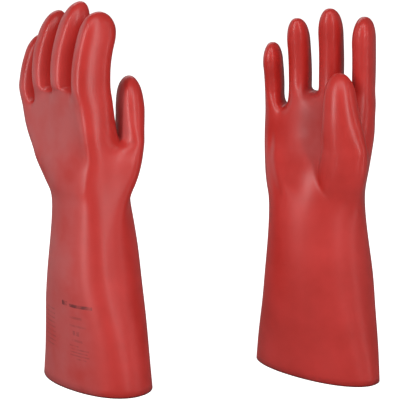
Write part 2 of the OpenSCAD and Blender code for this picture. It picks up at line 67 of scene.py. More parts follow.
# ---------------------------------------------------------------- floor and light
# A seamless, glowing white table that runs out of sight, in a dim white room. Tall strip lights stand on
# both sides of the camera and on the far right, a broad white wall on the left, and two softboxes above.
class Socket:
    """A shader output that can be reckoned with: + - * < > and abs add Math nodes."""

    def __init__(self, tree, link=None):
        self.tree, self.link = tree, link

    def node(self, kind, settings=(), sockets=(), out=0):
        """A node of this type, its settings first, then its sockets' values or links; gives its output."""
        made = self.tree.nodes.new("ShaderNode" + kind)
        for name, value in dict(settings).items():
            if name == "stops":
                ramp = made.color_ramp.elements
                while len(ramp) < len(value):
                    ramp.new(0.5)
                for stop, (place, colour) in zip(ramp, value):
                    stop.position, stop.color = place, colour
            else:
                setattr(made, name, value)
        for name, value in dict(sockets).items():
            if isinstance(value, Socket):
                self.tree.links.new(value.link, made.inputs[name])
            else:
                made.inputs[name].default_value = value
        return Socket(self.tree, made.outputs[out])

    def maths(self, operation, *values):
        return self.node("Math", {"operation": operation}, enumerate(values))

    def __add__(self, other):
        return self.maths("ADD", self, other)

    def __sub__(self, other):
        return self.maths("SUBTRACT", self, other)

    def __rsub__(self, other):
        return self.maths("SUBTRACT", other, self)

    def __mul__(self, other):
        return self.maths("MULTIPLY", self, other)

    def __lt__(self, other):
        return self.maths("LESS_THAN", self, other)

    def __gt__(self, other):
        return self.maths("GREATER_THAN", self, other)

    def __abs__(self):
        return self.maths("ABSOLUTE", self)

    __radd__, __rmul__ = __add__, __mul__

    def between(self, low, high):
        """0 below low, 1 above high and straight between them."""
        return self.node("MapRange", {"clamp": True}, {0: self, 1: low, 2: high, 3: 0.0, 4: 1.0})


def new_material(name):
    """An empty material: its tree as a Socket, and the sockets of its one Principled BSDF."""
    material = bpy.data.materials.new(name)
    material.use_nodes = True
    tree = material.node_tree
    return material, Socket(tree), tree.nodes["Principled BSDF"].inputs


table_reach = 10.0
table_line = np.linspace(-table_reach, table_reach, 3)
table_points = np.stack([*np.meshgrid(table_line, table_line), np.zeros((3, 3))], -1).reshape(-1, 3)
corner = np.array([0, 1, 3, 4])
table_faces = np.stack([corner, corner + 1, corner + 4, corner + 3], -1)
table_mesh = bpy.data.meshes.new("white_table")
table_mesh.from_pydata(table_points.tolist(), [], table_faces.tolist())
white_table = bpy.data.objects.new("white_table", table_mesh)
bpy.context.collection.objects.link(white_table)
table_paint, table_tree, table_inputs = new_material("white_table")
table_inputs["Base Color"].default_value = (0.6, 0.6, 0.6, 1)
table_inputs["Roughness"].default_value = 0.9
table_inputs["Emission Color"].default_value = (1, 1, 1, 1)
# It glows white where it is seen itself and casts only a little of that on the gloves. It is left out
# of their reflections, so that the strip lights can reach below its level in them.
glow_seen, glow_cast = 1.0, 0.1
seen_itself = table_tree.node("LightPath", out=0)
glow = glow_cast + (glow_seen - glow_cast) * seen_itself
table_tree.tree.links.new(glow.link, table_inputs["Emission Strength"])
table_mesh.materials.append(table_paint)
white_table.visible_glossy = False

room = bpy.data.worlds.new("white_room")
room.use_nodes = True
room.node_tree.nodes["Background"].inputs["Color"].default_value = (1, 1, 1, 1)
room.node_tree.nodes["Background"].inputs["Strength"].default_value = 0.16
bpy.context.scene.world = room

# the height that all the lights face
gloves_middle = 0.22


def softbox(name, turn, height, distance, width, tall, watts):
    """A rectangular light at a distance from the gloves, facing their middle; turn is in degrees from the
    camera's side to the right."""
    light = bpy.data.lights.new(name, "AREA")
    light.shape, light.size, light.size_y, light.energy = "RECTANGLE", width, tall, watts
    lamp = bpy.data.objects.new(name, light)
    around = math.radians(turn)
    lamp.location = (distance * math.sin(around), -distance * math.cos(around), height)
    tilt = math.atan2(height - gloves_middle, distance)
    lamp.rotation_euler = (math.pi / 2 - tilt, 0, around)
    bpy.context.collection.objects.link(lamp)


softbox("near_right", 28, gloves_middle, 1.6, 0.12, 3.4, 17)
softbox("far_right", 66, gloves_middle, 1.4, 0.14, 2.4, 3.5)
softbox("left", -38, gloves_middle, 1.6, 0.12, 3.4, 24)
softbox("white_wall", -112, 0.6, 1.8, 2.6, 1.6, 7)
softbox("above", 5, 1.9, 1.3, 1.4, 0.9, 9)
softbox("above_behind", 190, 1.5, 1.5, 1.6, 1.0, 9)

# ---------------------------------------------------------------- the gloves' shape
# Each glove is one skin of rubber, dipped on a former: a flared sleeve, a hand, four bent fingers
# and a thumb, with webs between them. Sizes are in millimetres, in the right hand's own frame:
# thumb towards +x, the back of the hand towards +y, and up towards the fingertips.
# thickness of the rubber
wall = 2.4
# the sections from the cuff up: height, width, depth, shift to the back, and turn in degrees
cuff_back = 6.5
sleeve_z, sleeve_back, sleeve_shift = 74, 4, 9.5
forearm_z, forearm_width, forearm_depth, forearm_back = 123, 116.5, 94.5, 3.5
wrist_z, wrist_width, wrist_depth, wrist_back = 195.5, 103, 79.5, 1.5
palm_z, palm_width, palm_depth, palm_back, palm_turn = 227.5, 114.5, 73, 11, 12.5
crotch_z, crotch_width, crotch_depth, crotch_back, crotch_turn = 258, 125, 56.5, 17, 18
knuckle_z, knuckle_width, knuckle_depth, knuckle_back, knuckle_turn = 288, 127.5, 48.5, 18.5, 19.5
# the fingers from index to little: places across and back, heights, bows, widths and depths
root_across, tip_across = np.array([48.5, 12.5, -22, -52]), np.array([48.5, 11, -26, -54])
root_back, tip_back = np.array([7, 14, 24, 38]), np.array([-8.5, 2, 15, 21.5])
tip_height = np.array([401, 408, 394.5, 364.5])
bow = np.array([10.5, 14.5, 14, 9])
finger_width = np.array([23.5, 25.5, 23.5, 19.5])
root_depth, tip_depth = np.array([45, 49, 47, 39]), np.array([38.5, 26.5, 24.5, 33])
# heights of the webs between the fingers, how far their ends lie below that, and the heights
# where the outer sides of the index and little fingers begin
web_z, web_fall = np.array([321.5, 316.5, 298]), 4
side_z = np.array([296, 290])
# the thumb, the ball below it that runs back into the wrist, and the web beside it
thumb_root_width, thumb_mid_width, thumb_tip_width = 52, 39, 29.5
thumb_root_depth, thumb_mid_depth, thumb_tip_depth = 27, 29.5, 28.5
thumb_side, thumb_lean, thumb_front, thumb_bow = 37, 9, 33, 1.5
heel_in, heel_back = 0.5, 15
thumb_web_out, thumb_web_rise = 13.5, 9
# length of a rounded tip, as a share of the digit's width
finger_cap, thumb_cap = 0.9, 1.05
# how square the ovals are, where 2 is an ellipse, and how full the webs are along and across
HAND_SQUARE, FINGER_SQUARE = 2.15, 2.4
WEB_ROUND, WEB_FULL = 0.6, 0.6
# share of the valleys between the fingers that shows at the knuckles
VALLEY = 0.1
# the skin's columns: STEPS along the back of a finger and SIDE along its side; on the hand's loop
# the thumb takes the place of the columns from WEB_A to WEB_B
STEPS, SIDE, THUMB_ARC = 4, 4, 10
SPAN = 4 * STEPS
HAND_N, FINGER_N = 2 * SPAN + 2 * SIDE, 2 * STEPS + 2 * SIDE
WEB_A = 2 * SPAN - 1
WEB_B = WEB_A + 6
WEB_N = WEB_B - WEB_A
BODY_N, THUMB_N = HAND_N - WEB_N + THUMB_ARC, WEB_N + THUMB_ARC
# the skin's rows: the first one over the wrist, and those of the hand, of a digit's root, of its
# shaft and of its rounded tip
WRIST_ROW, HAND_ROWS, ROOT_ROWS, THUMB_SHAFT = 15, 3, 4, 2
SHAFT, CAP = np.array([0.17, 0.38, 0.6, 0.82]), np.array([0, 0.5, 0.8, 0.95])
# where the root ends: a share of a finger's length, and a height over the thumb's crotch
ROOT_END, THUMB_ROOT = 0.3, 20
# degrees: where the hand's back and palm begin, and the arcs of the thumb and of its ball
CORNER = 32
THUMB_START, THUMB_SWEEP = 150, 260
BALL_START, BALL_END = 205, 355
# heights over which the ball of the thumb takes its forms, down from the crotch, palm or wrist
WEB_FADE, EDGE_FADE, BALL_RISE, PALM_BLEND, RING_BLEND, ANGLE_BLEND = 30, 22, 14, 8, 20, 25
# size of the soft join between the ball and the palm, at the wrist and at the crotch
WRIST_FILLET, CROTCH_FILLET = 14, 8
# part of the thumb's flare that carries on below its crotch, and the powers that bend its axis
THUMB_FLARE, HEEL_POWER, TIP_POWER = 0.35, 1.4, 1.5
# columns beside the thumb's web that are eased, and columns of its root that follow the web's curve
WEB_REACH, THUMB_REACH = 3, 1.5
# the eased joins: rounds, strength at the knuckles, and widths of the ball's seams with the palm
# and with the thumb side, as shares of its arc
EASE_ROUNDS, KNUCKLE_EASE, PALM_SEAM, SIDE_SEAM = 80, 0.9, 0.25, 0.4
# a path of (across, up) down the heel of the palm, beside the ball, and the width eased along it
HEEL, HEEL_WIDTH = [(8, 246), (12, 228), (12, 205), (6, 180)], 25
# depth over which a detail fades towards the other side, how far back the fingers' middle lies, and
# the height below which a detail lifts the skin less and less upwards, so that the cuff stays level
FACING, FINGERS_BACK, LEVEL_CUFF = 12, 24, 30


def mix(a, b, t):
    """The value t of the way from a to b."""
    return a + (b - a) * t


def rise(value, start, end):
    """0 up to start, 1 from end on, and 3t^2 - 2t^3 between them."""
    t = np.clip((value - start) / (end - start), 0, 1)
    return t * t * (3 - 2 * t)


def belly(start, middle, end, t):
    """A parabola through three sizes at t = 0, 0.5 and 1."""
    return start + (4 * middle - 3 * start - end) * t + 2 * (start + end - 2 * middle) * t * t


def oval(half_width, half_depth, angle, square=HAND_SQUARE):
    """A superellipse's point at an angle in degrees: cos and sin to the power 2 / square, times the
    half sizes."""
    c, s = np.cos(np.radians(angle)), np.sin(np.radians(angle))
    x = half_width * np.sign(c) * np.abs(c) ** (2 / square)
    y = half_depth * np.sign(s) * np.abs(s) ** (2 / square)
    return np.stack(np.broadcast_arrays(x, y), -1)


def turned(point, angle):
    """A point (across, back) turned by an angle in degrees, clockwise as seen from above."""
    c, s = np.cos(np.radians(angle)), np.sin(np.radians(angle))
    x, y = point[..., 0], point[..., 1]
    return np.stack([x * c + y * s, y * c - x * s], -1)


def through(rows, z):
    """A smooth curve through the rows at heights z: cubic Hermite pieces whose slope at a row is that of
    the straight line between the rows on either side of it."""
    heights = rows[:, 0]
    i = np.clip(np.searchsorted(heights, z, side="right") - 1, 0, len(rows) - 2)
    below = np.maximum(np.arange(len(rows)) - 1, 0)
    above = np.minimum(np.arange(len(rows)) + 1, len(rows) - 1)
    slope = (rows[above] - rows[below]) / (heights[above] - heights[below])[:, None]
    gap = (heights[i + 1] - heights[i])[..., None]
    t = (z[..., None] - heights[i][..., None]) / gap
    return (
        rows[i] * (1 + t * t * (2 * t - 3))
        + rows[i + 1] * t * t * (3 - 2 * t)
        + slope[i] * gap * t * (1 - t) ** 2
        - slope[i + 1] * gap * t * t * (1 - t)
    )


# the places between the fingers' roots give the angles at which the back and the palm are cut
finger_edge = (root_across[:3] + root_across[1:]) / palm_width
edge_angle = np.degrees(np.arccos(np.sign(finger_edge) * np.abs(finger_edge) ** (HAND_SQUARE / 2)))
edge_angle = np.concatenate([[CORNER], edge_angle, [180 - CORNER]])


def hand_angle(j):
    """The angle of column j on the hand's section: it runs over the back, the little side and the palm."""
    j = np.asarray(j, float)
    back = np.interp(np.clip(j, 0, SPAN) / STEPS, np.arange(5), edge_angle)
    palm = 360 - np.interp(np.clip(2 * SPAN + SIDE - j, 0, SPAN) / STEPS, np.arange(5), edge_angle)
    little = mix(180 - CORNER, 180 + CORNER, (j - SPAN) / SIDE)
    thumb = mix(360 - CORNER, 360 + CORNER, (j - 2 * SPAN - SIDE) / SIDE)
    return np.select([j <= SPAN, j <= SPAN + SIDE, j <= 2 * SPAN + SIDE], [back, little, palm], thumb)


def thumb_angle(m):
    """The angle of column m on the thumb's oval: the outer side first, then the side to the web."""
    outer = THUMB_START + THUMB_SWEEP * m / THUMB_ARC
    inner = THUMB_START + THUMB_SWEEP + (360 - THUMB_SWEEP) * (m - THUMB_ARC) / WEB_N
    return np.where(m <= THUMB_ARC, outer, inner)


def finger_angle(m):
    """The angle of column m on a finger's oval: back, outer side, palm and inner side take 90 each."""
    return np.interp(m, [0, STEPS, STEPS + SIDE, 2 * STEPS + SIDE, FINGER_N], 45 + 90 * np.arange(5))


finger_root = np.stack([root_across, root_back, np.full(4, knuckle_z)], -1)
finger_tip = np.stack([tip_across, tip_back, tip_height], -1)


def finger_axis(f, u):
    """A parabola from the finger's root to its tip that passes its bow behind the middle."""
    u = np.asarray(u, float)[..., None]
    lift = (finger_root[f] + finger_tip[f]) / 2 + np.array([0, 2 * bow[f], 0])
    return finger_root[f] * (1 - u) ** 2 + lift * 2 * u * (1 - u) + finger_tip[f] * u * u


def finger_point(f, u, m, shrink=1.0):
    """A squarish oval across the axis at u, with its depth running from the root's to the tip's."""
    u, m, shrink = np.broadcast_arrays(np.asarray(u, float), np.asarray(m, float), shrink)
    along = finger_axis(f, u + 0.01) - finger_axis(f, u - 0.01)
    along /= np.linalg.norm(along, axis=-1, keepdims=True)
    up = np.cross(along, [1, 0, 0])
    up /= np.linalg.norm(up, axis=-1, keepdims=True)
    depth = mix(root_depth[f], tip_depth[f], u)
    q = oval(finger_width[f] / 2, depth / 2, finger_angle(m), FINGER_SQUARE) * shrink[..., None]
    return finger_axis(f, u) + np.cross(up, along) * q[..., :1] + up * q[..., 1:]


def root_point(f, m):
    """Column m of a finger's root, as (across, back)."""
    return finger_root[f, :2] + oval(finger_width[f] / 2, root_depth[f] / 2, finger_angle(m), FINGER_SQUARE)


def root_corner(f, m):
    """The corner between two fingers' roots is the middle of their two corners."""
    beside = f + (1 if m in (STEPS, STEPS + SIDE) else -1)
    if not 0 <= beside <= 3:
        return root_point(f, m)
    across_from = STEPS - m if m <= STEPS else FINGER_N + STEPS - m
    return (root_point(f, m) + root_point(beside, across_from)) / 2


def root_arc(f, m):
    """The back or the palm of a finger's root, with its ends moved to the corners it shares."""
    first = 0 if m[0] <= STEPS else STEPS + SIDE
    start, end = (root_corner(f, e) - root_point(f, e) for e in (first, first + STEPS))
    return root_point(f, m) + mix(start, end, ((m - first) / STEPS)[:, None])


def knuckle_ring():
    """The four fingers' roots as one loop. In a valley between two fingers a column lies nearly on the
    line over the fingers' backs, or on the one under their palms."""
    ring = np.zeros((HAND_N, 2))
    for f in range(4):
        ring[STEPS * f:STEPS * (f + 1) + 1] = root_arc(f, np.arange(STEPS + 1))
        k = SPAN + SIDE + STEPS * (3 - f)
        ring[k:k + STEPS + 1] = root_arc(f, STEPS + SIDE + np.arange(STEPS + 1))
    ring[SPAN + 1:SPAN + SIDE] = root_point(3, STEPS + np.arange(1, SIDE))
    ring[2 * SPAN + SIDE + 1:] = root_point(0, 2 * STEPS + SIDE + np.arange(1, SIDE))
    filled = ring.copy()
    inside = np.arange(STEPS // 2, SPAN - STEPS // 2 + 1)
    for j, side in ((inside, 1), (SPAN + SIDE + inside, -1)):
        filled[j, 1] = np.interp(-ring[j, 0], -root_across, root_back + side * root_depth / 2)
    return mix(filled, ring, VALLEY)


knuckles = knuckle_ring()
# the ring of knuckles climbs to the webs' feet
foot_z = [side_z[0], *(web_z - web_fall), side_z[1]]
cuts = np.concatenate([STEPS * np.arange(5), SPAN + SIDE + STEPS * np.arange(5), [HAND_N]])
ring_z = np.interp(np.arange(HAND_N), cuts, [*foot_z, *foot_z[::-1], foot_z[0]])


def on_ring(point, z, j):
    """From below the crotch up to the knuckles a section's point turns into the ring's, in column j."""
    ring = np.concatenate([knuckles[j], z[..., None]], -1)
    return mix(point, ring, rise(z, crotch_z - RING_BLEND, knuckle_z)[..., None])


def web_arch(a, b, t, high, out=0.0):
    """A saddle's ridge from a to b: it eases across, rises by a root of a sine and may stand out to
    the palm."""
    arch = mix(a, b, (1 - np.cos(np.pi * t[:, None])) / 2)
    arch[:, 2] += high * np.sin(np.pi * t) ** WEB_ROUND
    arch[:, 1] -= out * np.sin(np.pi * t)
    return arch


def root_rows(foot, shaft, webbed):
    """The rows from a digit's foot to its shaft. They run straight, but where a column is webbed they
    leave level and turn up: a root of a sine outwards, and 1 - cos upwards."""
    t = np.arange(1, ROOT_ROWS + 1)[:, None] / ROOT_ROWS
    out = mix(t, np.sin(np.pi / 2 * t) ** WEB_FULL, webbed)
    up = mix(t, 1 - np.cos(np.pi / 2 * t), webbed)
    return mix(foot, shaft, np.stack([out, out, up], -1))


class Glove:
    """What is one glove's own: a cuff of (width, depth, turn), a sleeve of (width, depth), the height of
    the thumb's tip, and how far that tip stands further out to the palm, or back if under 0. A row of its
    sections is a height, a half width, a half depth, shifts to the thumb and to the back, and a turn."""

    def __init__(self, cuff, sleeve, thumb_z, thumb_out):
        self.thumb_z, self.thumb_out = thumb_z, thumb_out
        self.rows = np.array([
            [0, cuff[0] / 2, cuff[1] / 2, sleeve_shift, cuff_back, cuff[2]],
            [sleeve_z, sleeve[0] / 2, sleeve[1] / 2, sleeve_shift, sleeve_back, cuff[2] / 2],
            [forearm_z, forearm_width / 2, forearm_depth / 2, sleeve_shift - 1, forearm_back, 0],
            [wrist_z, wrist_width / 2, wrist_depth / 2, sleeve_shift / 2, wrist_back, 0],
            [palm_z, palm_width / 2, palm_depth / 2, 1, palm_back, palm_turn],
            [crotch_z, crotch_width / 2, crotch_depth / 2, 0, crotch_back, crotch_turn],
            [knuckle_z, knuckle_width / 2, knuckle_depth / 2, 0, knuckle_back, knuckle_turn]], float)

    def section(self, z, angle):
        """The point at an angle on the sleeve's or hand's turned oval at height z."""
        z, angle = np.broadcast_arrays(np.asarray(z, float), angle)
        s = through(self.rows, z)
        q = s[..., 3:5] + turned(oval(s[..., 1], s[..., 2], angle), s[..., 5])
        return np.concatenate([q, z[..., None]], -1)

    def thumb_axis(self, z):
        """Straight and bowed above the thumb's crotch, and drawn back into the wrist below it."""
        z = np.asarray(z, float)
        below = np.clip((crotch_z - z) / (crotch_z - wrist_z), 0, None) ** HEEL_POWER
        above = np.clip((z - crotch_z) / (self.thumb_z - crotch_z), 0, 1)
        x = thumb_side - thumb_lean * above - heel_in * below
        curve = thumb_bow * (1 - np.cos(2 * np.pi * above)) / 2 + self.thumb_out * above ** TIP_POWER
        return np.stack([x, heel_back * below - thumb_front - curve, z], -1)

    def thumb_oval(self, z, angle):
        """The point at an angle on the thumb's oval at height z; its sizes run through the root's, the
        middle's and the tip's."""
        z, angle = np.broadcast_arrays(np.asarray(z, float), angle)
        t = np.clip((z - crotch_z) / (self.thumb_z - crotch_z), -THUMB_FLARE, 1)
        half_width = belly(thumb_root_width, thumb_mid_width, thumb_tip_width, t) / 2
        half_depth = belly(thumb_root_depth, thumb_mid_depth, thumb_tip_depth, t) / 2
        q = oval(half_width, half_depth, angle)
        return self.thumb_axis(z) + np.concatenate([q, 0 * q[..., :1]], -1)

    def ball_point(self, z, m):
        """The ball of the thumb at share m of its arc: a point of the thumb's oval that stands out of the
        hand's oval, with a soft join where the two are nearly level."""
        near = rise(z, palm_z - PALM_BLEND, crotch_z)
        start = mix(BALL_START, THUMB_START, near)
        end = mix(BALL_END, THUMB_START + THUMB_SWEEP, rise(z, crotch_z - WEB_FADE, crotch_z))
        ball = self.thumb_oval(z, mix(start, end, m))
        s = through(self.rows, z)
        d = ball[..., :2] - s[..., 3:5]
        reach = np.hypot(d[..., 0], d[..., 1])
        q = np.abs(turned(d, -s[..., 5]) / s[..., 1:3]) ** HAND_SQUARE
        edge = reach / q.sum(-1) ** (1 / HAND_SQUARE)
        fillet = mix(WRIST_FILLET, CROTCH_FILLET, near)
        soft = np.maximum(fillet - np.abs(reach - edge), 0) ** 2 / fillet / 4 * (1 - (2 * m - 1) ** 4)
        stretch = (np.maximum(reach, edge) + soft) / reach
        return np.concatenate([s[..., 3:5] + d * stretch[..., None], ball[..., 2:]], -1)

    def ball_share(self, z, m):
        """How much of the ball shows: first along its middle, and up to its edges only near the crotch."""
        edges = rise(z, palm_z - EDGE_FADE, crotch_z)
        return rise(z, wrist_z - BALL_RISE, palm_z) * mix(1, edges, (2 * m - 1) ** 2)

    def body_point(self, z, j):
        """Column j below the crotch: evenly spaced in the sleeve, gathered as on the hand further up, and
        with the ball of the thumb over the thumb side."""
        z, j = np.broadcast_arrays(np.asarray(z, float), np.asarray(j))
        m = np.clip((j - WEB_A) / THUMB_ARC, 0, 1)
        on_ball = (m > 0) & (m < 1)
        hand_j = np.where(m > 0, j - THUMB_ARC + WEB_N, j)
        angle = np.where(on_ball, mix(hand_angle(WEB_A), hand_angle(WEB_B), m), hand_angle(hand_j))
        gathered = rise(z, wrist_z - ANGLE_BLEND, crotch_z - RING_BLEND)
        flat = self.section(z, mix(CORNER + 360 / BODY_N * j, angle, gathered))
        swell = mix(flat, self.ball_point(z, m), self.ball_share(z, m)[..., None])
        return np.where(on_ball[..., None], swell, on_ring(flat, z, hand_j % HAND_N))

    def loft(self):
        """The rows of points from the cuff up to the knuckles, and how much each point is eased: the
        sleeve with the wrist and the ball, the ridge of the thumb's web, the hand, and the finger webs."""
        body_z = np.array([
            0, sleeve_z / 2, sleeve_z, (sleeve_z + forearm_z) / 2, forearm_z, (forearm_z + wrist_z) / 2,
            wrist_z, wrist_z + WRIST_ROW, mix(wrist_z, palm_z, 2 / 3), palm_z,
            mix(palm_z, crotch_z, 1 / 3), mix(palm_z, crotch_z, 2 / 3), crotch_z])
        body = self.body_point(body_z[:, None], np.arange(BODY_N))
        web_start, web_end = body[-1, WEB_A], body[-1, WEB_A + THUMB_ARC]
        crotch = web_arch(web_start, web_end, np.arange(1, WEB_N) / WEB_N, thumb_web_rise, thumb_web_out)
        row = np.arange(1, HAND_ROWS + 1)[:, None] / HAND_ROWS
        column = np.arange(HAND_N)
        z, j = np.broadcast_arrays(mix(crotch_z, knuckle_z, row), column)
        hand = on_ring(self.section(z, hand_angle(j)), z, j)
        hand[..., 2] = mix(crotch_z, ring_z, row)
        # the columns over the thumb's web leave its ridge level and turn up
        for over_web, t in zip(hand[:-1, WEB_A + 1:WEB_B], np.pi / 2 * row[:-1, 0]):
            over_web[:, :2] = mix(crotch[:, :2], over_web[:, :2], np.sin(t) ** WEB_FULL)
            over_web[:, 2] = mix(crotch[:, 2], ring_z[WEB_A + 1:WEB_B], 1 - np.cos(t))
        web_share = np.arange(1, SIDE) / SIDE
        webs = [
            web_arch(hand[-1, STEPS * f], hand[-1, HAND_N - SIDE - STEPS * f], web_share, web_fall)
            for f in (1, 2, 3)]

        m = (np.arange(BODY_N) - WEB_A) / THUMB_ARC
        seam = np.exp(-((m / PALM_SEAM) ** 2)) + np.exp(-(((m - 1) / SIDE_SEAM) ** 2))
        seam_rise = rise(body_z, wrist_z - ANGLE_BLEND, palm_z - ANGLE_BLEND)[:, None]
        off_web = np.maximum(np.maximum(WEB_A - column, column - WEB_B), 0)
        near_web = np.clip(1 - off_web / WEB_REACH, 0, 1)
        eased = [
            (seam_rise * np.minimum(seam, 1)).ravel(), np.ones(len(crotch)),
            np.maximum(near_web * (1 - row), KNUCKLE_EASE * row ** 2).ravel(),
            np.zeros(3 * (SIDE - 1))]
        return [body, crotch, hand, *webs], eased

    def cage(self):
        """The coarse skin: its points, how much each is eased, its quads and the triangles at the tips.
        At the thumb's crotch the ring of columns splits into the hand's and the thumb's, and at the
        knuckles into the four fingers'."""
        pieces, eased = self.loft()
        points = [piece.reshape(-1, 3) for piece in pieces]
        loft = np.concatenate(points)
        body_id = np.arange(len(points[0])).reshape(-1, BODY_N)
        crotch_id = body_id.size + np.arange(WEB_N - 1)
        hand_id = crotch_id[-1] + 1 + np.arange(HAND_ROWS * HAND_N).reshape(-1, HAND_N)
        web_id = hand_id[-1, -1] + 1 + np.arange(3 * (SIDE - 1)).reshape(3, -1)
        hand_foot = np.concatenate([body_id[-1, :WEB_A + 1], crotch_id, body_id[-1, WEB_A + THUMB_ARC:]])
        thumb_foot = np.concatenate([body_id[-1, WEB_A:WEB_A + THUMB_ARC + 1], crotch_id[::-1]])
        quads = [strip(a, b) for a, b in zip(body_id, body_id[1:])]
        quads += [strip(a, b) for a, b in zip([hand_foot, *hand_id], hand_id)]
        caps = []
        count = len(loft)

        def add_digit(foot, rings, tip, strength):
            """Joins a digit's rings to its foot and closes its tip. Its root's rows are eased, each less
            than the one below."""
            nonlocal count
            n = len(foot)
            ids = count + np.arange(len(rings) * n).reshape(-1, n)
            points.extend([rings.reshape(-1, 3), tip.reshape(1, 3)])
            quads.extend(strip(a, b) for a, b in zip([foot, *ids], ids))
            caps.append(np.stack([ids[-1], np.roll(ids[-1], -1), np.full(n, count + ids.size)], -1))
            weight = np.zeros((len(rings), n))
            weight[:ROOT_ROWS] = strength * (1 - np.arange(1, ROOT_ROWS + 1)[:, None] / (ROOT_ROWS + 1))
            eased.append(np.append(weight, 0))
            count += ids.size + 1

        rounding = np.sqrt(1 - CAP ** 2)[:, None]
        m = np.arange(FINGER_N)
        for f in range(4):
            back = hand_id[-1, STEPS * f:STEPS * (f + 1) + 1]
            k = SPAN + SIDE + STEPS * (3 - f)
            outer_side = hand_id[-1, SPAN + 1:SPAN + SIDE] if f == 3 else web_id[f]
            inner_side = hand_id[-1, HAND_N - SIDE + 1:] if f == 0 else web_id[f - 1][::-1]
            foot = np.concatenate([back, outer_side, hand_id[-1, k:k + STEPS + 1], inner_side])
            outer_web = (m >= STEPS) & (m <= STEPS + SIDE) & (f < 3)
            inner_web = ((m >= 2 * STEPS + SIDE) | (m == 0)) & (f > 0)
            reach = finger_width[f] * finger_cap / math.dist(finger_tip[f], finger_root[f])
            rings = np.concatenate([
                root_rows(loft[foot], finger_point(f, ROOT_END, m), outer_web | inner_web),
                finger_point(f, mix(ROOT_END, 1 - reach, SHAFT)[:, None], m),
                finger_point(f, (1 - reach * (1 - CAP))[:, None], m, rounding)])
            add_digit(foot, rings, finger_axis(f, 1), KNUCKLE_EASE)

        m = np.arange(THUMB_N)
        root_z, cap_z = crotch_z + THUMB_ROOT, self.thumb_z - thumb_tip_width * thumb_cap
        shaft_z = mix(root_z, cap_z, np.arange(1, THUMB_SHAFT + 1) / (THUMB_SHAFT + 1))
        webbed = np.exp(-((np.minimum(m, np.maximum(THUMB_ARC - m, 0)) / THUMB_REACH) ** 2))
        around = self.thumb_oval(cap_z, thumb_angle(m)) - self.thumb_axis(cap_z)
        rings = np.concatenate([
            root_rows(loft[thumb_foot], self.thumb_oval(root_z, thumb_angle(m)), webbed),
            self.thumb_oval(shaft_z[:, None], thumb_angle(m)),
            self.thumb_axis(mix(cap_z, self.thumb_z, CAP))[:, None] + around * rounding[..., None]])
        add_digit(thumb_foot, rings, self.thumb_axis(self.thumb_z), webbed)
        return np.concatenate(points), np.concatenate(eased), np.concatenate(quads), np.concatenate(caps)


def strip(low, high):
    """Four-sided faces between two closed rows of point numbers."""
    return np.stack([low, np.roll(low, -1), np.roll(high, -1), high], -1)


def refine(points, faces):
    """One Catmull-Clark step on a list of face arrays. A face gets the mean of its corners, an edge the mean
    of its ends and of the points of the faces beside it, and an old point moves to (F + 2R + (n - 3)P) / n.
    An open edge keeps its middle, and its ends move an eighth of the way to each neighbour."""
    count = len(points)
    face_point = np.concatenate([points[f].mean(1) for f in faces])
    ends = np.concatenate([np.stack([f, np.roll(f, -1, 1)], -1).reshape(-1, 2) for f in faces])
    sides = np.concatenate([np.full(len(f), f.shape[1]) for f in faces])
    owner = np.repeat(np.arange(len(face_point)), sides)
    edges, place, uses = np.unique(np.sort(ends, 1), axis=0, return_inverse=True, return_counts=True)
    place = place.ravel()
    beside = np.zeros((len(edges), points.shape[1]))
    np.add.at(beside, place, face_point[owner])
    middle = points[edges].mean(1)
    closed = (uses == 2)[:, None]
    edge_point = np.where(closed, (points[edges].sum(1) + beside) / 4, middle)
    corners = ends[:, 0]
    face_sum, edge_sum = np.zeros_like(points), np.zeros_like(points)
    np.add.at(face_sum, corners, face_point[owner])
    np.add.at(edge_sum, edges.ravel(), np.repeat(middle, 2, 0))
    face_n = np.bincount(corners, minlength=count)[:, None]
    edge_n = np.bincount(edges.ravel(), minlength=count)[:, None]
    moved = (face_sum / face_n + 2 * edge_sum / edge_n + (edge_n - 3) * points) / edge_n
    rim = edges[uses == 1]
    rim_sum = np.zeros_like(points)
    np.add.at(rim_sum, rim.ravel(), points[rim[:, ::-1].ravel()])
    on_rim = np.unique(rim)
    moved[on_rim] = 0.75 * points[on_rim] + 0.125 * rim_sum[on_rim]
    quads, start, first = [], 0, 0
    for f in faces:
        e = count + place[start:start + f.size].reshape(f.shape)
        centre = count + len(edges) + first + np.arange(len(f))
        quads += [np.stack([f[:, c], e[:, c], centre, e[:, c - 1]], -1) for c in range(f.shape[1])]
        start, first = start + f.size, first + len(f)
    return np.concatenate([moved, edge_point, face_point]), np.concatenate(quads)


def outward(points, quads):
    """Each point's unit normal: the sum of its faces' cross products of their diagonals."""
    turn = np.cross(points[quads[:, 2]] - points[quads[:, 0]], points[quads[:, 3]] - points[quads[:, 1]])
    normal = np.zeros_like(points)
    np.add.at(normal, quads.ravel(), np.repeat(turn, 4, 0))
    return normal / np.linalg.norm(normal, axis=1, keepdims=True)


def relax(points, quads, weight, rounds):
    """Each round moves a point towards the mean of its neighbours on the quads, by half its weight."""
    ends = np.concatenate([quads[:, [c, (c + 1) % 4]] for c in range(4)])
    ends = np.concatenate([ends, ends[:, ::-1]])
    around = np.bincount(ends[:, 0], minlength=len(points))
    for _ in range(rounds):
        mean = np.stack([np.bincount(ends[:, 0], axis[ends[:, 1]], len(points)) for axis in points.T], 1)
        points = mix(points, mean / around[:, None], weight[:, None] / 2)
    return points


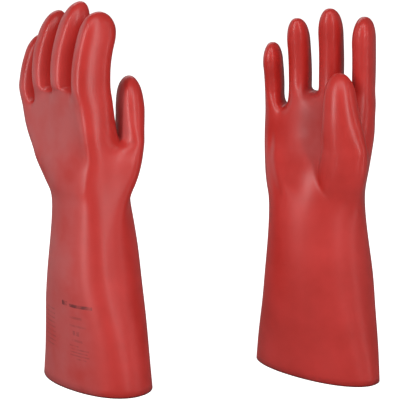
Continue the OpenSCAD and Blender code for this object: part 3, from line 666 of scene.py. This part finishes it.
def ridge(points, side, path, width, height):
    """How far a soft line, or a hollow one under 0, lifts the skin: its height times a bell curve of the
    distance from a path of (across, up) points, on the back of the hand (side 1), the palm (side -1) or
    both (side 0)."""
    path = np.asarray(path, float)
    flat = points[:, [0, 2]]
    nearest = np.full(len(points), np.inf)
    for start, end in zip(path, path[1:]):
        along = np.clip((flat - start) @ (end - start) / ((end - start) @ (end - start)), 0, 1)
        nearest = np.minimum(nearest, np.linalg.norm(flat - mix(start, end, along[:, None]), axis=1))
    middle = np.interp(
        points[:, 2], [0, wrist_z, palm_z, knuckle_z], [0, wrist_back, palm_back, FINGERS_BACK])
    facing = rise(side * (points[:, 1] - middle), 0, FACING) if side else 1
    return height * np.exp(-((nearest / width) ** 2)) * facing


def smooth_skin(glove, details):
    """The outer skin. The cage is swollen by what Catmull-Clark will shrink it and refined twice, the
    details lift it along its normals as ridge says, and then the joins and the heel of the palm are eased.
    Gives its points and quads, and the number of points and the quads of the skin refined once, whose
    points are the first of the fine ones."""
    cage, eased, quads, caps = glove.cage()
    target = cage.copy()
    for _ in range(2):
        cage = cage + target - refine(cage, [quads, caps])[0][:len(cage)]
    coarse, coarse_quads = refine(np.column_stack([cage, eased]), [quads, caps])
    fine, fine_quads = refine(coarse, [coarse_quads])
    skin, eased = fine[:, :3], fine[:, 3]
    lifted = outward(skin, fine_quads) * sum(ridge(skin, *detail) for detail in details)[:, None]
    lifted[:, 2] *= rise(skin[:, 2], 0, LEVEL_CUFF)
    eased = np.maximum(eased, ridge(skin, -1, HEEL, HEEL_WIDTH, 1))
    return relax(skin + lifted, fine_quads, eased, EASE_ROUNDS), fine_quads, len(coarse), coarse_quads


def glove_mesh(name, glove, details, mirrored, lean, turn, node):
    """A glove as one closed wall, in metres, over the middle of its solid's box: the outer skin, a coarser
    one a wall's thickness inside it, and the cut rim that joins them. Leaned, mirrored for the left hand,
    and turned on its cuff. Gives the mesh, its points as they are before that, and the skin's normals."""
    skin, fine_quads, count, coarse_quads = smooth_skin(glove, details)
    normal = outward(skin, fine_quads)
    inner = skin[:count] - wall * normal[:count]
    at_cuff = skin[:, 2] < 0.01
    inner[at_cuff[:count], 2] = 0
    rim = np.nonzero(at_cuff)[0]
    middle = skin[rim].mean(0)
    rim = rim[np.argsort(np.arctan2(skin[rim, 1] - middle[1], skin[rim, 0] - middle[0]))]
    if rim[0] >= count:
        rim = np.roll(rim, -1)
    # on the rim every other point has one inside it: a and c have, and b between them has none
    a, b, c = rim[::2], rim[1::2], np.roll(rim[::2], -1)
    in_a, in_c = a + len(skin), c + len(skin)
    points = np.concatenate([skin, inner])
    faces = [fine_quads, coarse_quads[:, ::-1] + len(skin), np.stack([in_a, in_c, c, b], -1)]
    ends = np.stack([in_a, b, a], -1)

    world = points.copy()
    world[:, :2] += np.outer(points[:, 2] / tip_height.max(), lean)
    if mirrored:
        world[:, 0] *= -1
        faces, ends = [f[:, ::-1] for f in faces], ends[:, ::-1]
    world[:, :2] = turned(world, -turn)
    world /= 1000
    box_middle = np.mean(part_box(node), axis=0)
    world[:, :2] += box_middle[:2] - (world.min(0) + world.max(0))[:2] / 2
    mesh = bpy.data.meshes.new(name)
    mesh.from_pydata(world.tolist(), [], np.concatenate(faces).tolist() + ends.tolist())
    mesh.shade_smooth()
    return mesh, points, np.concatenate([normal, normal[:count]])


def paint(mesh, name, values):
    """Keeps one number, or one vector, for each point of a mesh, which its material reads by that name."""
    kind, field = ("FLOAT_VECTOR", "vector") if values.ndim == 2 else ("FLOAT", "value")
    mesh.attributes.new(name, kind, "POINT").data.foreach_set(field, values.astype(np.float32).ravel())


# ---------------------------------------------------------------- the rubber
# Natural rubber with a red pigment, cured in hot water: a satin skin with a faint cloudy bloom. Each glove
# says with two values on its points where a pinkish sheen is painted over its colour, with a little of that
# bloom, and where its ink lies.
rubber, shader, rubber_inputs = new_material("red_rubber")
place = shader.node("TexCoord", out=3)
cloud = shader.node("TexNoise", {}, {"Vector": place, "Scale": 22.0, "Detail": 3.0, "Roughness": 0.55})
grain = shader.node("TexNoise", {}, {"Vector": place, "Scale": 700.0, "Detail": 2.0})
height = shader.node("SeparateXYZ", {}, {0: place}, out=2)
deep_red, light_red = (0.49, 0.024, 0.018, 1), (0.59, 0.036, 0.030, 1)
# the dark red is painted shade for the foot of the cuff
# the pink is a painted sheen, with a little bloom in it
sheen_and_bloom_pink, foot_shade_red, ink = (0.42, 0.13, 0.13, 1), (0.18, 0.012, 0.010, 1), (0.06, 0.012, 0.014, 1)


def over(colour, share, top):
    """A colour with a share of another one over it."""
    return shader.node("Mix", {"data_type": "RGBA"}, {0: share, 6: colour, 7: top}, out=2)


red = shader.node("ValToRGB", {"stops": [(0.3, deep_red), (0.7, light_red)]}, {0: cloud})
# Painted sheen: a pinkish grey goes over the red where a glove's value says, with a little cloudy bloom, on
# the left glove's back and in the right palm's hollow.
sheen_and_bloom = shader.node("Attribute", {"attribute_name": "bloom"}, out=2)
red = over(red, 0.5 * (sheen_and_bloom * cloud.between(0.2, 0.6)), sheen_and_bloom_pink)
# painted shade: the cut rim and the skin just above it are darkened where the cuff stands on the table
red = over(red, 1 - height.between(0.0008, 0.0016), foot_shade_red)
# Rows of plain ink bars stand where such gloves are marked; the ink is thin and worn. A bar is its
# height over the cuff, how tall it is, its two ends round the sleeve, and how dark it is.
stamp = shader.node("Attribute", {"attribute_name": "stamp_place"}, out=1)
across, up = (shader.node("SeparateXYZ", {}, {0: stamp}, out=axis) for axis in (0, 1))
bars = 0
for bar_up, tall, left_end, right_end, strength in (
    (96, 5, -26, -16, 0.9), (95, 3.5, -13, 18, 0.75), (82, 2.6, -14, 5, 0.3), (73, 2.2, -15, 10, 0.25),
    (65, 5, -10, -6, 0.5), (65, 5, -4, 0, 0.5), (57, 2.6, -12, 4, 0.35), (51, 1.4, -17, -2, 0.35),
    (47.5, 1.4, -17, 12, 0.35), (44, 1.4, -17, 10, 0.35), (40.5, 1.4, -17, 12, 0.3), (37, 1.4, -8, 8, 0.3),
):
    bars = strength * (abs(up - bar_up) < tall / 2) * (across > left_end) * (across < right_end) + bars
# a fainter column of equal bars stands further round the sleeve
column_bars, column_top, column_step, column_place = 9, 84, 5, -60
for bar in range(column_bars):
    faint = (abs(up - (column_top - column_step * bar)) < 0.8) * (abs(across - column_place) < 13)
    bars = 0.3 * faint + bars
worn = shader.node("TexNoise", {}, {"Vector": place, "Scale": 140.0, "Detail": 2.0}).between(0.25, 0.6)
red = over(red, bars * worn, ink)
rubber_inputs["Base Color"].default_value = (0.55, 0.03, 0.025, 1)
shader.tree.links.new(red.link, rubber_inputs["Base Color"])
# the sleeve and the places with the painted sheen and bloom are a little rougher than the hand
dusty = 1 - height.between(0.12, 0.27)
roughness = 0.29 + 0.06 * cloud + 0.1 * sheen_and_bloom + 0.1 * dusty
shader.tree.links.new(roughness.link, rubber_inputs["Roughness"])
bump = shader.node("Bump", {}, {"Strength": 0.05, "Distance": 0.0004, "Height": grain})
shader.tree.links.new(bump.link, rubber_inputs["Normal"])

# ---------------------------------------------------------------- left glove
# It stands with its thumb side and its back to the front and leans to its little finger's side. Its
# details, all on the back: a swell down the sleeve, one below the little finger, and one near the cuff.
left_shape = Glove(cuff=(149.5, 88.5, 18), sleeve=(135, 92.5), thumb_z=330.5, thumb_out=6)
left_details = [
    (1, [(15, 190), (5, 90), (0, 0)], 45, 3),
    (1, [(-55, 298), (-45, 283), (-37, 267), (-28, 245)], 14, 3),
    (1, [(-8, 85), (-2, 60)], 25, 2)]
left_mesh, left_points, left_normal = glove_mesh(
    "left_glove_shell", left_shape, left_details, mirrored=True, lean=(-40, 1.6), turn=112,
    node="left_glove")
left_glove = bpy.data.objects.new("left_glove_shell", left_mesh)
bpy.context.collection.objects.link(left_glove)
left_mesh.materials.append(rubber)
# a pinkish sheen, the reflection of the lights on the left, is painted where the skin faces the back of the
# hand and sleeve, and the ink lies on the sleeve between its back and thumb side
paint(left_mesh, "bloom", rise(left_normal[:, 1], 0.6, 0.85))
stamp_turn, stamp_radius = math.radians(38), 60
round_sleeve = stamp_turn - np.arctan2(left_points[:, 1] - cuff_back, left_points[:, 0] - sleeve_shift)
stamp_place = np.column_stack([stamp_radius * round_sleeve, left_points[:, 2], np.zeros(len(left_points))])
paint(left_mesh, "stamp_place", stamp_place)
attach(left_glove, "left")
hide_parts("left_glove")

# ---------------------------------------------------------------- right glove
# It stands palm forward beside the other, turned a little to its thumb side. Its details, all on the palm
# but the last: a ridge on the little side, a hollow, a crease, the filled heel, and a fuller thumb edge.
right_shape = Glove(cuff=(160, 75, 26), sleeve=(129, 90.5), thumb_z=345.5, thumb_out=-14)
right_details = [
    (-1, [(-50, 296), (-46, 268), (-41, 245), (-34, 228), (-26, 216)], 5, 1.8),
    (-1, [(-5, 296), (-3, 276)], 15, -4),
    (-1, [(14, 273), (4, 262), (-5, 252), (-9, 244)], 6, -0.6),
    (-1, [(-4, 234), (10, 226)], 18, 6),
    (0, [(64, 305), (64, 232)], 10, 3.5)]
right_mesh, right_points, _ = glove_mesh(
    "right_glove_shell", right_shape, right_details, mirrored=False, lean=(14.7, -45.7), turn=-15,
    node="right_glove")
right_glove = bpy.data.objects.new("right_glove_shell", right_mesh)
bpy.context.collection.objects.link(right_glove)
right_mesh.materials.append(rubber)
# a greyish sheen is painted in the palm's hollow; there is no ink, because no bar lies at the height 0
paint(right_mesh, "bloom", ridge(right_points, -1, [(-5, 298), (-2, 265)], 22, 0.8))
paint(right_mesh, "stamp_place", np.zeros((len(right_points), 3)))
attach(right_glove, "right")
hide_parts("right_glove")
